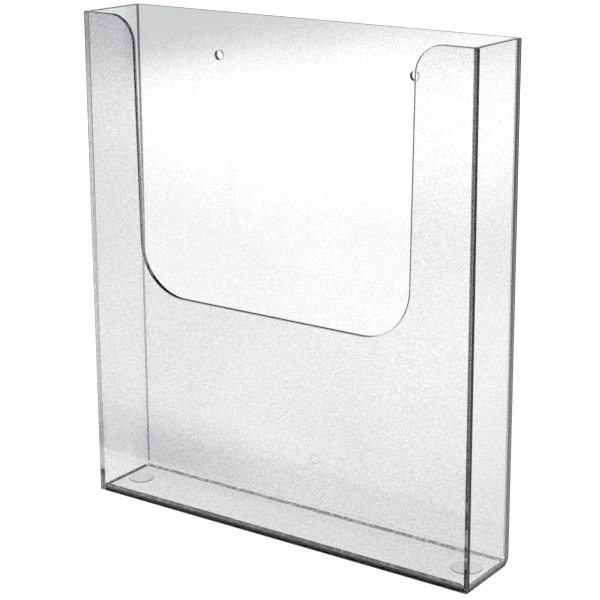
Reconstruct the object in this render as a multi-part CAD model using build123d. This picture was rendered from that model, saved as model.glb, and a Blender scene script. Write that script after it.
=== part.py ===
from build123d import *
import os

# Clear wall pocket for portrait A4 leaflets, built from 2.5 mm polished plastic sheet.
#
# One sheet is bent into the back and the floor. A side panel is cemented to each end of it,
# and a full-width front panel with a U-shaped cutout is cemented across the front. Two plain
# holes in the back take wall screws, a shallow round mark lies low on its wall side, and a
# round cushion disc lies at each end of the floor.
#
# Millimetres. The origin is the middle of the footprint, on the underside.
# +X is to the right for someone facing the rack, +Y points at the wall and +Z is up.

# Overall size
WIDTH = 230.0
HEIGHT = 260.0
DEPTH = 41.0
SHEET = 2.5

# Bend between the back and the floor
BEND_OUTSIDE_RADIUS = 5.0
BEND_INSIDE_RADIUS = BEND_OUTSIDE_RADIUS - SHEET

# U-shaped cutout in the front panel, a little narrower at its lower corners than at its mouth
CUTOUT_FLOOR = 117.5
CUTOUT_MOUTH_WIDTH = 166.0
CUTOUT_FLOOR_WIDTH = 161.0
CUTOUT_LOWER_RADIUS = 27.0
CUTOUT_MOUTH_RADIUS = 15.0

# Screw holes in the back
HOLE_DIAMETER = 5.0
HOLE_SPACING = 118.0
HOLE_HEIGHT = 237.5

# Shallow round mark on the wall side of the back, on the centre line
MARK_DIAMETER = 5.0
MARK_DEPTH = 0.4
MARK_HEIGHT = 30.0

# Cushion discs on the floor
DISC_DIAMETER = 14.0
DISC_THICKNESS = 1.0
DISC_EDGE_RADIUS = 0.5
DISC_GAP_TO_SIDE = 3.0

# Places worked out from the sizes above
FRONT_FACE = -DEPTH / 2
FRONT_INNER_FACE = FRONT_FACE + SHEET
BACK_FACE = DEPTH / 2
SIDE_INNER_FACE = WIDTH / 2 - SHEET
INSIDE_WIDTH = 2 * SIDE_INNER_FACE
DISC_OFFSET = SIDE_INNER_FACE - DISC_GAP_TO_SIDE - DISC_DIAMETER / 2


def cutout_outline():
    """The U-shaped opening as a face in the sketch plane, with its origin on the underside."""
    slope = (CUTOUT_MOUTH_WIDTH - CUTOUT_FLOOR_WIDTH) / 2 / (HEIGHT - CUTOUT_FLOOR)
    over = CUTOUT_MOUTH_RADIUS
    top_half = CUTOUT_MOUTH_WIDTH / 2 + slope * over
    floor_half = CUTOUT_FLOOR_WIDTH / 2
    corners = [
        (-floor_half, CUTOUT_FLOOR),
        (floor_half, CUTOUT_FLOOR),
        (top_half, HEIGHT + over),
        (-top_half, HEIGHT + over),
    ]
    opening = make_face(Polyline(*corners, close=True))
    lower_corners = opening.vertices().sort_by(Axis.Y)[:2]
    return fillet(lower_corners, CUTOUT_LOWER_RADIUS)


def front_panel():
    """Full-width front sheet, with rounded lips where the cutout meets the top edge."""
    blank = Pos(0, HEIGHT / 2) * Rectangle(WIDTH, HEIGHT)
    outline = blank - cutout_outline()
    top_corners = outline.vertices().group_by(Axis.Y)[-1].sort_by(Axis.X)
    lips = top_corners[1:-1]
    outline = fillet(lips, CUTOUT_MOUTH_RADIUS)
    sketch_plane = Plane(origin=(0, FRONT_FACE, 0), x_dir=(1, 0, 0), z_dir=(0, -1, 0))
    return extrude(sketch_plane * outline, amount=-SHEET)


def back_and_floor_sheet():
    """One sheet bent to an L between the side panels, drilled for the wall screws and marked."""
    bend_y = BACK_FACE - BEND_OUTSIDE_RADIUS
    bend_z = BEND_OUTSIDE_RADIUS
    floor_underside = Line((FRONT_INNER_FACE, 0), (bend_y, 0))
    outer_bend = RadiusArc((bend_y, 0), (BACK_FACE, bend_z), -BEND_OUTSIDE_RADIUS)
    wall_side = Line((BACK_FACE, bend_z), (BACK_FACE, HEIGHT))
    top_end = Line((BACK_FACE, HEIGHT), (BACK_FACE - SHEET, HEIGHT))
    inner_back = Line((BACK_FACE - SHEET, HEIGHT), (BACK_FACE - SHEET, bend_z))
    inner_bend = RadiusArc((BACK_FACE - SHEET, bend_z), (bend_y, SHEET), BEND_INSIDE_RADIUS)
    inner_floor = Line((bend_y, SHEET), (FRONT_INNER_FACE, SHEET))
    front_end = Line((FRONT_INNER_FACE, SHEET), (FRONT_INNER_FACE, 0))
    edges = [floor_underside, outer_bend, wall_side, top_end]
    edges += [inner_back, inner_bend, inner_floor, front_end]
    profile_plane = Plane(origin=(0, 0, 0), x_dir=(0, 1, 0), z_dir=(1, 0, 0))
    profile = profile_plane * make_face(edges)
    sheet = extrude(profile, amount=INSIDE_WIDTH / 2, both=True)
    drill = Rot(90, 0, 0) * Cylinder(HOLE_DIAMETER / 2, 3 * SHEET)
    for x in (-HOLE_SPACING / 2, HOLE_SPACING / 2):
        sheet -= Pos(x, BACK_FACE - SHEET / 2, HOLE_HEIGHT) * drill
    mark = Rot(90, 0, 0) * Cylinder(MARK_DIAMETER / 2, 2 * MARK_DEPTH)
    sheet -= Pos(0, BACK_FACE, MARK_HEIGHT) * mark
    return sheet


def side_panel(hand):
    """Side sheet behind the front panel; its lower rear corner follows the bend."""
    depth = BACK_FACE - FRONT_INNER_FACE
    middle = (BACK_FACE + FRONT_INNER_FACE) / 2
    outline = Pos(middle, HEIGHT / 2) * Rectangle(depth, HEIGHT)
    lower_rear = outline.vertices().sort_by(Axis.Y)[:2].sort_by(Axis.X)[-1]
    outline = fillet(lower_rear, BEND_OUTSIDE_RADIUS)
    inner_x = min(hand * SIDE_INNER_FACE, hand * WIDTH / 2)
    profile_plane = Plane(origin=(inner_x, 0, 0), x_dir=(0, 1, 0), z_dir=(1, 0, 0))
    return extrude(profile_plane * outline, amount=SHEET)


def floor_disc(hand):
    """Round cushion disc with a softened upper rim."""
    disc = Cylinder(DISC_DIAMETER / 2, DISC_THICKNESS, align=(Align.CENTER, Align.CENTER, Align.MIN))
    rim = disc.edges().sort_by(Axis.Z)[-1]
    disc = fillet(rim, DISC_EDGE_RADIUS)
    return Pos(hand * DISC_OFFSET, 0, SHEET) * disc


def build():
    return {
        "front_panel": front_panel(),
        "back_and_floor_sheet": back_and_floor_sheet(),
        "left_side_panel": side_panel(-1),
        "right_side_panel": side_panel(1),
        "left_floor_disc": floor_disc(-1),
        "right_floor_disc": floor_disc(1),
    }


os.makedirs("parts", exist_ok=True)
for node, shape in build().items():
    export_step(shape, f"parts/{node}.step")
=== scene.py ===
import math

import bmesh
import bpy
from mathutils import Matrix, Vector


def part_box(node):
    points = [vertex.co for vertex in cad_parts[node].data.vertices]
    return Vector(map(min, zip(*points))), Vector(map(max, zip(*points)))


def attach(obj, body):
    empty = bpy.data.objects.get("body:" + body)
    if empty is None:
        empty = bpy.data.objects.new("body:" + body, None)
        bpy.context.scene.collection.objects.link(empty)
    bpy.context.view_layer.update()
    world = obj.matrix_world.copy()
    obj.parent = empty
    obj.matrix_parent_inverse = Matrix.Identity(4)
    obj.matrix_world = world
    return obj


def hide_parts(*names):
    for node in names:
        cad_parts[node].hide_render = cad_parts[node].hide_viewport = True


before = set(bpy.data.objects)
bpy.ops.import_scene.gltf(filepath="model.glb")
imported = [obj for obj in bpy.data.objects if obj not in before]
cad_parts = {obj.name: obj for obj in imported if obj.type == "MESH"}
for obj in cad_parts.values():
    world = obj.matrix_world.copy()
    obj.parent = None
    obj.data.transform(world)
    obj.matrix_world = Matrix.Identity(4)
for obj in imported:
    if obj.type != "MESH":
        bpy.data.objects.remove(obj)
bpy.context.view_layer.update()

MM = 0.001

# ---------------------------------------------------------------- sizes read from the frame
front_low, front_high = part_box("front_panel")
bent_low, bent_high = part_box("back_and_floor_sheet")
WIDTH = front_high.x - front_low.x
HEIGHT = front_high.z
FRONT_FACE = front_low.y
FRONT_INNER_FACE = front_high.y
BACK_FACE = bent_high.y
SHEET = front_high.y - front_low.y
SIDE_INNER_FACE = bent_high.x

# The same cutout, bend, holes and mark as the CAD model, in metres
CUTOUT_FLOOR = 117.5 * MM
CUTOUT_MOUTH_WIDTH = 166 * MM
CUTOUT_FLOOR_WIDTH = 161 * MM
CUTOUT_LOWER_RADIUS = 27 * MM
CUTOUT_MOUTH_RADIUS = 15 * MM
BEND_OUTSIDE_RADIUS = 5 * MM
HOLE_RADIUS = 2.5 * MM
HOLE_OFFSET = 59 * MM
HOLE_HEIGHT = 237.5 * MM
MARK_RADIUS = 2.5 * MM
MARK_DEPTH = 0.4 * MM
MARK_HEIGHT = 30 * MM

# Rounding of the polished edges
EDGE_BREAK = 0.3 * MM
FRONT_EDGE_BREAK = 0.5 * MM
DISC_EDGE_BREAK = 0.45 * MM
SHARP_ANGLE = math.radians(40)

# The air gap that stands for each joint, and the fillets of cement in the inner corners
JOINT_GAP = 0.03 * MM
FLOOR_BEAD = 1.1 * MM
FRONT_BEAD = 1.7 * MM
BACK_BEAD = 0.8 * MM

# Points on each arc, and on each round outline
WIDE_ARC_STEPS = 28
BEND_STEPS = 14
BEAD_STEPS = 6
HOLE_STEPS = 48
DISC_STEPS = 64

# How dark each place is, from 0 for clear to 1 for black: cement at the joints, and painted shade on the
# exposed ends, top edge, cutout, holes, bend and disc rims
END_SHADE_AND_CEMENT = 1.0
RIGHT_END_CEMENT_AND_SHADE = 0.97
TOP_EDGE_SHADE = 0.9
HOLE_SHADE = 0.9
CUTOUT_SIDE_SHADE = 0.85
CUTOUT_FLOOR_SHADE = 0.5
LOWER_BEND_SHADE = 0.85
UPPER_BEND_SHADE = 0.5
BEAD_DARKNESS = 0.9
BACK_BEAD_DARKNESS = 0.38
DISC_RIM_SHADE = 0.25
# Joint cement at the sides' front ends, painted darker on the right than on the left as shade
LEFT_JOINT_CEMENT_AND_SHADE = 0.4
RIGHT_JOINT_CEMENT_AND_SHADE = 0.92

# Clear plastic: refractive index, finish of a cut end, and colours of clear places, of haze with painted
# grey shade, of cement with painted dark shade, and of shine
PLASTIC_IOR = 1.49
SATIN_ROUGHNESS = 0.45
CLEAR = (1.0, 1.0, 1.0, 1)
HAZE_AND_SHADE_GREY = (0.60, 0.615, 0.625, 1)
DISC_HAZE_AND_SHADE_GREY = (0.94, 0.94, 0.94, 1)
BLACK_CEMENT_AND_SHADE = (0.0002, 0.0003, 0.0007, 1)
SLATE_CEMENT_AND_SHADE = (0.006, 0.008, 0.012, 1)
WHITE_SHINE = (1, 1, 1, 1)
SHADE_DULL_SHINE = (0.0, 0.0, 0.01, 1)

# Tint that grows with the depth of plastic looked through, and how much of it there is per metre
DEPTH_COLOUR = (0.0, 0.08, 0.12)
SHEET_DEPTH_DENSITY = 8.0
SIDE_DEPTH_DENSITY = 3.0

# Studio: the floor's half size and its drop below the rack, and the middle of its painted pool of light
FLOOR_HALF_SIZE = 6.0
FLOOR_DROP = 0.2 * MM
POOL_MIDDLE = (-0.55, 1.10, 0.0)
SKY_COLOUR = (0.96, 0.98, 1.0, 1)

# Camera: three quarters from the right, a little above
CAMERA_PLACE = (0.4845, -0.6687, 0.3663)
CAMERA_AZIMUTH = math.radians(-32.98)
CAMERA_ELEVATION = math.radians(13.93)
CAMERA_ROLL = math.radians(0.31)
LENS = 102.9
LENS_SHIFT = -0.13

# Times that light may turn inside the sheets before it is given up
LIGHT_TURNS = 24


# ---------------------------------------------------------------- outlines and meshes
def rounded(corners, arc_steps):
    """A closed outline from (x, y, radius) corners, with each radius drawn as an arc."""
    outline = []
    count = len(corners)
    for i, (x, y, radius) in enumerate(corners):
        here = Vector((x, y))
        if radius == 0:
            outline.append(here)
            continue
        to_last = (Vector(corners[i - 1][:2]) - here).normalized()
        to_next = (Vector(corners[(i + 1) % count][:2]) - here).normalized()
        half_angle = to_last.angle(to_next) / 2
        centre = here + (to_last + to_next).normalized() * radius / math.sin(half_angle)
        start = here + to_last * radius / math.tan(half_angle) - centre
        end = here + to_next * radius / math.tan(half_angle) - centre
        sweep = start.angle_signed(end)
        for step in range(arc_steps + 1):
            turned = start.copy()
            turned.rotate(Matrix.Rotation(-sweep * step / arc_steps, 2))
            outline.append(centre + turned)
    return outline


def circle(radius, steps):
    return [
        Vector((math.cos(a), math.sin(a))) * radius
        for a in (math.tau * i / steps for i in range(steps))
    ]


def prism(name, outline, to_space, depth):
    """Mesh object: an outline in a plane, carried into space by to_space and thickened by depth."""
    bm = bmesh.new()
    low = [bm.verts.new(to_space(p)) for p in outline]
    high = [bm.verts.new(to_space(p) + depth) for p in outline]
    bm.faces.new(low)
    bm.faces.new(list(reversed(high)))
    for i in range(len(outline)):
        j = (i + 1) % len(outline)
        bm.faces.new((low[j], low[i], high[i], high[j]))
    bmesh.ops.recalc_face_normals(bm, faces=bm.faces)
    mesh = bpy.data.meshes.new(name)
    bm.to_mesh(mesh)
    bm.free()
    piece = bpy.data.objects.new(name, mesh)
    bpy.context.scene.collection.objects.link(piece)
    return piece


def score(piece, planes):
    """Splits the flat faces along each plane (point, normal), so that each part can be marked."""
    bm = bmesh.new()
    bm.from_mesh(piece.data)
    for point, normal in planes:
        everything = [*bm.verts, *bm.edges, *bm.faces]
        bmesh.ops.bisect_plane(bm, geom=everything, plane_co=point, plane_no=normal)
    bm.to_mesh(piece.data)
    bm.free()


def apply_modifiers(piece):
    """Turns the modified shape into the piece's own mesh."""
    bpy.context.view_layer.update()
    graph = bpy.context.evaluated_depsgraph_get()
    done = bpy.data.meshes.new_from_object(piece.evaluated_get(graph))
    piece.modifiers.clear()
    piece.data = done


def break_edges(piece, width=EDGE_BREAK, at_joint=lambda middle: False):
    """Rounds the sharp edges a little, as polishing does, except those that at_joint names."""
    bm = bmesh.new()
    bm.from_mesh(piece.data)
    weight = bm.edges.layers.float.new("bevel_weight_edge")
    for edge in bm.edges:
        sharp = edge.calc_face_angle(0) > SHARP_ANGLE
        kept = sharp and at_joint((edge.verts[0].co + edge.verts[1].co) / 2)
        edge[weight] = float(sharp and not kept)
        edge.smooth = not kept
    for face in bm.faces:
        face.smooth = True
    bm.to_mesh(piece.data)
    bm.free()
    bevel = piece.modifiers.new("edge_break", "BEVEL")
    bevel.width = width
    bevel.segments = 3
    bevel.limit_method = "WEIGHT"
    bevel.harden_normals = True
    apply_modifiers(piece)


def nowhere(centre, normal):
    return 0.0


def mark_faces(piece, cement_and_shade, satin=nowhere, dull_shade=nowhere):
    """Stores on each face how much cement and painted shade, satin and dullness it has, for the material to
    read.

    Each of the three is a function of a face's centre and normal. Dull faces are those over dark joints and
    on the dark marks; their mirror shine is taken away as painted shade.
    """
    for name, amount_at in (("cement_and_shade", cement_and_shade), ("satin", satin), ("dull_shade", dull_shade)):
        marks = piece.data.attributes.new(name, "FLOAT", "FACE")
        for polygon in piece.data.polygons:
            marks.data[polygon.index].value = amount_at(polygon.center, polygon.normal)


def take_in(piece, other):
    """Adds the other object's closed shell to the piece's mesh, with its marks."""
    bm = bmesh.new()
    bm.from_mesh(piece.data)
    bm.from_mesh(other.data)
    bm.to_mesh(piece.data)
    bm.free()
    bpy.data.objects.remove(other)


# ---------------------------------------------------------------- pieces
def make_front_panel():
    """Full-width front sheet with its cutout; its joints are left unrounded."""
    half = WIDTH / 2
    floor_half = CUTOUT_FLOOR_WIDTH / 2
    mouth_half = CUTOUT_MOUTH_WIDTH / 2
    corners = [
        (-half, 0, 0),
        (half, 0, 0),
        (half, HEIGHT, 0),
        (mouth_half, HEIGHT, CUTOUT_MOUTH_RADIUS),
        (floor_half, CUTOUT_FLOOR, CUTOUT_LOWER_RADIUS),
        (-floor_half, CUTOUT_FLOOR, CUTOUT_LOWER_RADIUS),
        (-mouth_half, HEIGHT, CUTOUT_MOUTH_RADIUS),
        (-half, HEIGHT, 0),
    ]
    panel = prism(
        "clear_front_panel",
        rounded(corners, WIDE_ARC_STEPS),
        lambda p: Vector((p.x, FRONT_FACE, p.y)),
        Vector((0, SHEET - JOINT_GAP, 0)),
    )
    score(panel, [
        ((0, 0, SHEET), (0, 0, 1)),
        ((SIDE_INNER_FACE, 0, 0), (1, 0, 0)),
    ])

    def at_joint(middle):
        inside = middle.y > FRONT_INNER_FACE - SHEET / 4
        return inside and (abs(middle.x) > half - SHEET / 4 or middle.z < SHEET / 4)

    break_edges(panel, FRONT_EDGE_BREAK, at_joint)

    def cement_and_shade(centre, normal):
        # Painted shade: the exposed right end and the left front edge are painted black
        if normal.x > 0.9 and centre.x > SIDE_INNER_FACE:
            return END_SHADE_AND_CEMENT
        if centre.x < -SIDE_INNER_FACE and normal.y < -0.1 and normal.x < -0.1:
            return END_SHADE_AND_CEMENT
        # Painted shade along the top edge
        if normal.z > 0.1 and centre.z > HEIGHT - SHEET / 2:
            return TOP_EDGE_SHADE
        # Painted shade on the cutout's sides that face right, and lighter on its floor
        in_cutout = abs(centre.x) < SIDE_INNER_FACE and centre.z > SHEET
        if in_cutout and normal.x > 0.3:
            return CUTOUT_SIDE_SHADE
        if in_cutout and normal.z > 0.1:
            return CUTOUT_FLOOR_SHADE
        return 0.0

    # Painted shade: no mirror shine over the joints and on the dark marks
    def dull_shade(centre, normal):
        over_joint = centre.z < SHEET or centre.x > SIDE_INNER_FACE
        return float(over_joint or cement_and_shade(centre, normal) > 0)

    mark_faces(panel, cement_and_shade, dull_shade=dull_shade)
    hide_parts("front_panel")
    return panel


def drill_holes(sheet, holes):
    """Cuts each round hole (x, z, radius, depth) into the sheet from its wall side."""
    for x, z, radius, depth in holes:
        start = BACK_FACE - depth
        drill = prism(
            "drill",
            circle(radius, HOLE_STEPS),
            lambda p: Vector((x + p.x, start, z + p.y)),
            Vector((0, depth + SHEET, 0)),
        )
        cut = sheet.modifiers.new("drill", "BOOLEAN")
        cut.operation = "DIFFERENCE"
        cut.solver = "EXACT"
        cut.object = drill
        apply_modifiers(sheet)
        bpy.data.objects.remove(drill)


def make_cement_bead(radius, to_space, length, darkness):
    """Hollow fillet of cement in a corner; to_space carries its section (x, y) into place."""
    arc = [
        Vector((1 - math.sin(a), 1 - math.cos(a))) * radius
        for a in (math.pi / 2 * i / BEAD_STEPS for i in range(BEAD_STEPS + 1))
    ]
    bead = prism("bead", [Vector((0, 0)), *arc], to_space, length)
    mark_faces(bead, lambda centre, normal: darkness)
    return bead


def make_bent_sheet():
    """Back and floor in one, drilled and marked, with a fillet of cement along the front panel."""
    inner = BEND_OUTSIDE_RADIUS - SHEET
    bend_start = BACK_FACE - BEND_OUTSIDE_RADIUS
    corners = [
        (FRONT_INNER_FACE, 0, 0),
        (BACK_FACE, 0, BEND_OUTSIDE_RADIUS),
        (BACK_FACE, HEIGHT, 0),
        (BACK_FACE - SHEET, HEIGHT, 0),
        (BACK_FACE - SHEET, SHEET, inner),
        (FRONT_INNER_FACE, SHEET, 0),
    ]
    half = SIDE_INNER_FACE - JOINT_GAP
    sheet = prism(
        "clear_back_and_floor",
        rounded(corners, BEND_STEPS),
        lambda p: Vector((-half, p.x, p.y)),
        Vector((2 * half, 0, 0)),
    )
    through = 2 * SHEET
    drill_holes(sheet, [
        (-HOLE_OFFSET, HOLE_HEIGHT, HOLE_RADIUS, through),
        (HOLE_OFFSET, HOLE_HEIGHT, HOLE_RADIUS, through),
        (0, MARK_HEIGHT, MARK_RADIUS, MARK_DEPTH),
    ])

    def at_joint(middle):
        at_side = abs(middle.x) > half - SHEET / 4
        at_front = middle.y < FRONT_INNER_FACE + SHEET / 4 and middle.z < 2 * SHEET
        return at_side or at_front

    break_edges(sheet, at_joint=at_joint)

    def cement_and_shade(centre, normal):
        if normal.y < -0.9 and centre.z < SHEET:
            return END_SHADE_AND_CEMENT
        # Cement at the joint with the right side, painted dark as shade; the left end is left clear
        if normal.x > 0.9 and centre.x > half - SHEET / 4:
            return RIGHT_END_CEMENT_AND_SHADE
        # Painted shade on the walls of the two screw holes
        if abs(normal.y) < 0.5 and abs(centre.z - HOLE_HEIGHT) < 2 * HOLE_RADIUS:
            return HOLE_SHADE
        # Painted shade in two lines along the inside of the bend
        in_bend = centre.y > bend_start and centre.z < BEND_OUTSIDE_RADIUS
        if in_bend and normal.y < -0.02 and normal.z > 0.62:
            return LOWER_BEND_SHADE
        if in_bend and normal.y < -0.02 and 0.02 < normal.z < 0.15:
            return UPPER_BEND_SHADE
        return 0.0

    def satin(centre, normal):
        return float(normal.z > 0.9 and centre.z > HEIGHT / 2)

    mark_faces(sheet, cement_and_shade, satin)
    bead_half = half - FLOOR_BEAD - JOINT_GAP
    bead_y = FRONT_INNER_FACE + JOINT_GAP
    take_in(sheet, make_cement_bead(
        FRONT_BEAD,
        lambda p: Vector((-bead_half, bead_y + p.x, SHEET + JOINT_GAP + p.y)),
        Vector((2 * bead_half, 0, 0)),
        BEAD_DARKNESS,
    ))
    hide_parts("back_and_floor_sheet")
    return sheet


def make_side_panel(name, node, hand, joint_cement_and_shade):
    """Side sheet, hand -1 for left and 1 for right, with cement along the floor and the back."""
    corners = [
        (FRONT_INNER_FACE, 0, 0),
        (BACK_FACE, 0, BEND_OUTSIDE_RADIUS),
        (BACK_FACE, HEIGHT, 0),
        (FRONT_INNER_FACE, HEIGHT, 0),
    ]
    panel = prism(
        name,
        rounded(corners, BEND_STEPS),
        lambda p: Vector((hand * SIDE_INNER_FACE, p.x, p.y)),
        Vector((hand * SHEET, 0, 0)),
    )
    score(panel, [
        ((0, 0, SHEET), (0, 0, 1)),
        ((0, BACK_FACE - SHEET, 0), (0, 1, 0)),
    ])
    break_edges(panel, at_joint=lambda middle: middle.y < FRONT_INNER_FACE + SHEET / 4)

    def cement_and_shade(centre, normal):
        # Painted shade: the side's top end is painted black
        if normal.z > 0.1:
            return END_SHADE_AND_CEMENT
        # Cement at the front joint, darker on the right side than the left as painted shade
        return joint_cement_and_shade if normal.y < -0.9 else 0.0

    # Painted shade: no mirror shine over the joints and on the top end
    def dull_shade(centre, normal):
        over_joint = centre.z < SHEET or centre.y > BACK_FACE - SHEET
        return float(over_joint or normal.z > 0.1)

    mark_faces(panel, cement_and_shade, dull_shade=dull_shade)
    corner_x = hand * (SIDE_INNER_FACE - JOINT_GAP)
    floor_z = SHEET + JOINT_GAP
    front_y = FRONT_INNER_FACE + JOINT_GAP
    back_y = BACK_FACE - SHEET - JOINT_GAP
    bend_y = BACK_FACE - BEND_OUTSIDE_RADIUS
    take_in(panel, make_cement_bead(
        FLOOR_BEAD,
        lambda p: Vector((corner_x - hand * p.x, front_y, floor_z + p.y)),
        Vector((0, bend_y - front_y, 0)),
        BEAD_DARKNESS,
    ))
    take_in(panel, make_cement_bead(
        BACK_BEAD,
        lambda p: Vector((corner_x - hand * p.x, back_y - p.y, BEND_OUTSIDE_RADIUS)),
        Vector((0, 0, HEIGHT - EDGE_BREAK - BEND_OUTSIDE_RADIUS)),
        BACK_BEAD_DARKNESS,
    ))
    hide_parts(node)
    return panel


def make_disc(name, node):
    """Thin round cushion, resting on the floor with a joint's gap under it."""
    low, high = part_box(node)
    centre = (low + high) / 2
    disc = prism(
        name,
        circle((high.x - low.x) / 2, DISC_STEPS),
        lambda p: Vector((centre.x + p.x, centre.y + p.y, low.z + JOINT_GAP)),
        Vector((0, 0, high.z - low.z - JOINT_GAP)),
    )
    break_edges(disc, DISC_EDGE_BREAK)
    # Painted shade around the disc's rim
    mark_faces(disc, lambda centre, normal: DISC_RIM_SHADE if abs(normal.z) < 0.5 else 0.0)
    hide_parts(node)
    return disc


# ---------------------------------------------------------------- materials
class Nodes:
    """Short names for adding and joining shader nodes."""

    def __init__(self, tree):
        tree.nodes.clear()
        self.tree = tree

    def add(self, kind, **values):
        node = self.tree.nodes.new(kind)
        for key, value in values.items():
            if hasattr(node, key):
                setattr(node, key, value)
            else:
                node.inputs[key.replace("_", " ")].default_value = value
        return node

    def feed(self, socket, value):
        """Joins a socket to value, or sets it where value is a plain number or colour."""
        if isinstance(value, bpy.types.NodeSocket):
            self.tree.links.new(value, socket)
        else:
            socket.default_value = value

    def axes(self, place):
        """The place's X, Y and Z."""
        split = self.add("ShaderNodeSeparateXYZ")
        self.feed(split.inputs["Vector"], place)
        return [split.outputs[name] for name in "XYZ"]

    def mark(self, name):
        """What mark_faces stored on the face under this name."""
        return self.add("ShaderNodeAttribute", attribute_name=name).outputs["Fac"]

    def noise(self, place, scale, detail):
        texture = self.add("ShaderNodeTexNoise", Scale=scale, Detail=detail)
        self.feed(texture.inputs["Vector"], place)
        return texture.outputs["Fac"]

    def math(self, operation, *values):
        node = self.add("ShaderNodeMath", operation=operation)
        for slot, value in enumerate(values):
            self.feed(node.inputs[slot], value)
        return node.outputs["Value"]

    def ease(self, value, start, end, low, high):
        """Goes smoothly from low to high as value goes from start to end."""
        node = self.add("ShaderNodeMapRange", interpolation_type="SMOOTHSTEP")
        node.inputs["From Min"].default_value = start
        node.inputs["From Max"].default_value = end
        node.inputs["To Min"].default_value = low
        node.inputs["To Max"].default_value = high
        self.feed(node.inputs["Value"], value)
        return node.outputs["Result"]

    def blend(self, amount, first, second):
        """Colour that goes from first to second by amount."""
        node = self.add("ShaderNodeMixRGB")
        self.feed(node.inputs["Fac"], amount)
        self.feed(node.inputs["Color1"], first)
        self.feed(node.inputs["Color2"], second)
        return node.outputs["Color"]


def haze_and_painted_shade(n, place):
    """How grey the sheet is at a place: grain and haze all over, and painted grey shade in soft patches
    high and low.
    """
    across, along, up = n.axes(place)

    # Grain and a mottled haze, with painted shade that greys the left a little more and the floor a little
    # less
    grain = n.ease(n.noise(place, 1000.0, 2.0), 0.35, 0.65, 0.0, 0.46)
    mottled = n.ease(n.noise(place, 16.0, 3.0), 0.3, 0.7, 0.0, 0.08)
    lean = n.ease(across, 0.12, -0.12, -0.10, 0.075)
    on_floor = n.ease(up, 0.003, 0.007, -0.09, 0.0)
    everywhere = n.math("ADD", n.math("ADD", grain, mottled), n.math("ADD", lean, on_floor))

    # Painted shade under the top edge, which reaches further down the left of the back
    at_back = n.ease(along, 0.0, 0.016, 0.0, 1.0)
    slanted = n.math("MULTIPLY_ADD", across, -0.18, up)
    back_top = n.math("MULTIPLY", n.ease(slanted, 0.236, 0.268, 0.0, 0.72), at_back)
    to_left = n.ease(across, 0.10, -0.12, 0.15, 1.0)
    panel_top = n.math("MULTIPLY", n.ease(up, 0.213, 0.262, 0.0, 0.35), to_left)
    top = n.math("MAXIMUM", back_top, panel_top)

    # Painted shade low down: along the right, and across the foot of the back
    to_right = n.ease(across, -0.06, 0.12, 0.0, 1.0)
    low_right = n.math("MULTIPLY", n.ease(up, 0.14, 0.01, 0.0, 0.26), to_right)
    low_right = n.math("MULTIPLY", low_right, n.ease(up, 0.002, 0.006, 0.3, 1.0))
    low_back = n.math("MULTIPLY", n.ease(up, 0.040, 0.015, 0.0, 0.30), at_back)

    # And painted shade in a band across the left of the front panel
    band = n.math("MULTIPLY", n.ease(up, 0.065, 0.030, 0.0, 0.42), n.ease(up, 0.023, 0.026, 0.0, 1.0))
    band = n.math("MULTIPLY", band, n.ease(across, 0.02, -0.08, 0.2, 1.0))
    band = n.math("MULTIPLY", band, n.ease(along, -0.014, -0.018, 0.0, 1.0))
    low = n.math("MAXIMUM", n.math("MAXIMUM", low_right, low_back), band)
    return n.math("ADD", everywhere, n.math("ADD", top, low))


def cement_and_shade_colour(n, place):
    """Mottled between near black and slate, for cement at the joints and for painted dark shade."""
    blotches = n.noise(place, 260.0, 3.0)
    bands = n.noise(place, 11.0, 2.0)
    mottle = n.ease(n.math("MULTIPLY_ADD", bands, 0.9, blotches), 0.85, 1.25, 0.0, 1.0)
    return n.blend(mottle, BLACK_CEMENT_AND_SHADE, SLATE_CEMENT_AND_SHADE)


def cement_and_shade_amount(n, place):
    """The cement and painted shade marked on the face, darker towards the bottom, where small bubbles thin
    it in places.
    """
    up = n.axes(place)[2]
    thicker = n.math("MULTIPLY", n.mark("cement_and_shade"), n.ease(up, 0.15, 0.03, 1.0, 1.09))
    bubbles = n.ease(n.noise(place, 420.0, 2.0), 0.52, 0.60, 1.0, 0.0)
    bubbles = n.math("MAXIMUM", bubbles, n.ease(up, 0.0, 0.06, 0.70, 1.0))
    return n.math("MULTIPLY", thicker, bubbles)


def clear_plastic(name, haze_and_shade_colour, depth_density):
    """Clear sheet with faint grain and haze, painted grey shade in patches, dark cement at the joints,
    painted dark shade on exposed ends, edges, holes, bends and rims, less mirror shine over these as
    painted shade, and satin cut ends.
    """
    material = bpy.data.materials.new(name)
    material.use_nodes = True
    n = Nodes(material.node_tree)
    out = n.add("ShaderNodeOutputMaterial")
    shader = n.add("ShaderNodeBsdfPrincipled")
    shader.inputs["IOR"].default_value = PLASTIC_IOR
    shader.inputs["Transmission Weight"].default_value = 1.0
    n.feed(out.inputs["Surface"], shader.outputs["BSDF"])

    place = n.add("ShaderNodeTexCoord").outputs["Object"]
    # Haze, with painted grey shade in patches high, low and towards the left
    sheet = n.blend(haze_and_painted_shade(n, place), CLEAR, haze_and_shade_colour)
    # Cement at the joints, and painted dark shade on exposed ends, edges, holes, bends and disc rims
    with_cement_and_shade = n.blend(cement_and_shade_amount(n, place), sheet, cement_and_shade_colour(n, place))
    n.feed(shader.inputs["Base Color"], with_cement_and_shade)
    # Painted shade: the mirror shine is taken away over joints and dark marks
    n.feed(shader.inputs["Specular Tint"], n.blend(n.mark("dull_shade"), WHITE_SHINE, SHADE_DULL_SHINE))
    n.feed(shader.inputs["Roughness"], n.ease(n.mark("satin"), 0.0, 1.0, 0.0, SATIN_ROUGHNESS))

    absorb = n.add("ShaderNodeVolumeAbsorption")
    absorb.inputs["Color"].default_value = (*DEPTH_COLOUR, 1)
    absorb.inputs["Density"].default_value = depth_density
    n.feed(out.inputs["Volume"], absorb.outputs["Volume"])
    return material


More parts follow.
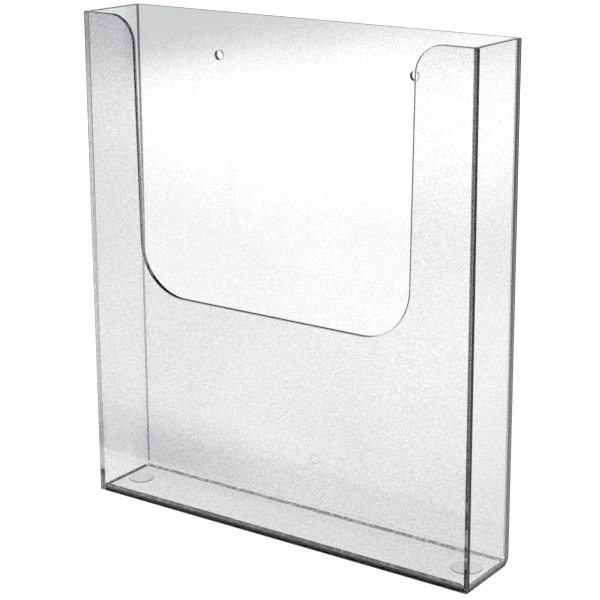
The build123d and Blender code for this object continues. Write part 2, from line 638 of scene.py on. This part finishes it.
def paint(piece, material):
    """Gives the piece its material and slot, and ties it to the rack's one body."""
    piece.data.materials.clear()
    piece.data.materials.append(material)
    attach(piece, "root")


sheet_plastic = clear_plastic("clear_sheet", HAZE_AND_SHADE_GREY, SHEET_DEPTH_DENSITY)
side_plastic = clear_plastic("clear_side", HAZE_AND_SHADE_GREY, SIDE_DEPTH_DENSITY)
disc_plastic = clear_plastic("clear_disc", DISC_HAZE_AND_SHADE_GREY, SIDE_DEPTH_DENSITY)

paint(make_front_panel(), sheet_plastic)
paint(make_bent_sheet(), sheet_plastic)
left_side = make_side_panel("clear_left_side", "left_side_panel", -1, LEFT_JOINT_CEMENT_AND_SHADE)
paint(left_side, side_plastic)
right_side = make_side_panel("clear_right_side", "right_side_panel", 1, RIGHT_JOINT_CEMENT_AND_SHADE)
paint(right_side, side_plastic)
paint(make_disc("clear_left_disc", "left_floor_disc"), disc_plastic)
paint(make_disc("clear_right_disc", "right_floor_disc"), disc_plastic)


# ---------------------------------------------------------------- studio
def make_floor():
    """A pale table that glows, with painted light in a brighter pool behind the rack and painted shade in
    front and to the right.
    """
    mesh = bpy.data.meshes.new("studio_floor")
    size = FLOOR_HALF_SIZE
    corners = [(x, y, -FLOOR_DROP) for x, y in ((-size, -size), (size, -size), (size, size), (-size, size))]
    mesh.from_pydata(corners, [], [(0, 1, 2, 3)])
    floor = bpy.data.objects.new("studio_floor", mesh)
    bpy.context.scene.collection.objects.link(floor)
    material = bpy.data.materials.new("studio_floor")
    material.use_nodes = True
    n = Nodes(material.node_tree)
    out = n.add("ShaderNodeOutputMaterial")
    glow = n.add("ShaderNodeEmission")
    place = n.add("ShaderNodeTexCoord").outputs["Object"]
    across, along = n.axes(place)[:2]
    # Painted shade in front and to the right, and a painted pool of light behind the rack
    front = n.ease(along, -1.10, -0.10, 0.50, 1.08)
    aside = n.math("MULTIPLY_ADD", along, 0.48, across)
    right = n.ease(aside, 0.16, 0.75, 1.0, 0.55)
    reach = n.add("ShaderNodeVectorMath", operation="DISTANCE")
    n.feed(reach.inputs[0], place)
    reach.inputs[1].default_value = POOL_MIDDLE
    pool = n.ease(reach.outputs["Value"], 0.10, 0.70, 0.27, 0.0)
    n.feed(glow.inputs["Strength"], n.math("ADD", n.math("MULTIPLY", front, right), pool))
    n.feed(out.inputs["Surface"], glow.outputs["Emission"])
    mesh.materials.append(material)


def make_world():
    """Soft light all round: bright low down behind the rack, dimmer overhead and in front."""
    world = bpy.data.worlds.new("studio")
    bpy.context.scene.world = world
    world.use_nodes = True
    n = Nodes(world.node_tree)
    out = n.add("ShaderNodeOutputWorld")
    sky = n.add("ShaderNodeBackground")
    along, up = n.axes(n.add("ShaderNodeTexCoord").outputs["Generated"])[1:]
    around = n.ease(along, -0.3, 0.6, 0.15, 1.0)
    upward = n.ease(up, 0.10, 0.50, 1.0, 0.30)
    n.feed(sky.inputs["Strength"], n.math("MULTIPLY", around, upward))
    sky.inputs["Color"].default_value = SKY_COLOUR
    n.feed(out.inputs["Surface"], sky.outputs["Background"])


def make_camera():
    """Camera that looks along the set azimuth and elevation, with a slight roll."""
    camera_data = bpy.data.cameras.new("camera")
    camera = bpy.data.objects.new("camera", camera_data)
    bpy.context.scene.collection.objects.link(camera)
    camera_data.sensor_width = 36
    camera_data.lens = LENS
    camera_data.shift_x = LENS_SHIFT
    camera_data.shift_y = LENS_SHIFT
    camera_data.clip_start = 0.05
    camera_data.clip_end = 50
    forward = Vector((
        math.sin(CAMERA_AZIMUTH) * math.cos(CAMERA_ELEVATION),
        math.cos(CAMERA_AZIMUTH) * math.cos(CAMERA_ELEVATION),
        -math.sin(CAMERA_ELEVATION),
    ))
    camera.location = CAMERA_PLACE
    camera.rotation_mode = "QUATERNION"
    look = forward.to_track_quat("-Z", "Y")
    camera.rotation_quaternion = look @ Matrix.Rotation(CAMERA_ROLL, 3, "Z").to_quaternion()
    bpy.context.scene.camera = camera


make_floor()
make_world()
make_camera()
bpy.context.scene.view_settings.view_transform = "Standard"

# Light runs a long way inside clear sheet, turned back at its faces again and again
paths = bpy.context.scene.cycles
paths.max_bounces = LIGHT_TURNS
paths.glossy_bounces = LIGHT_TURNS
paths.transmission_bounces = LIGHT_TURNS
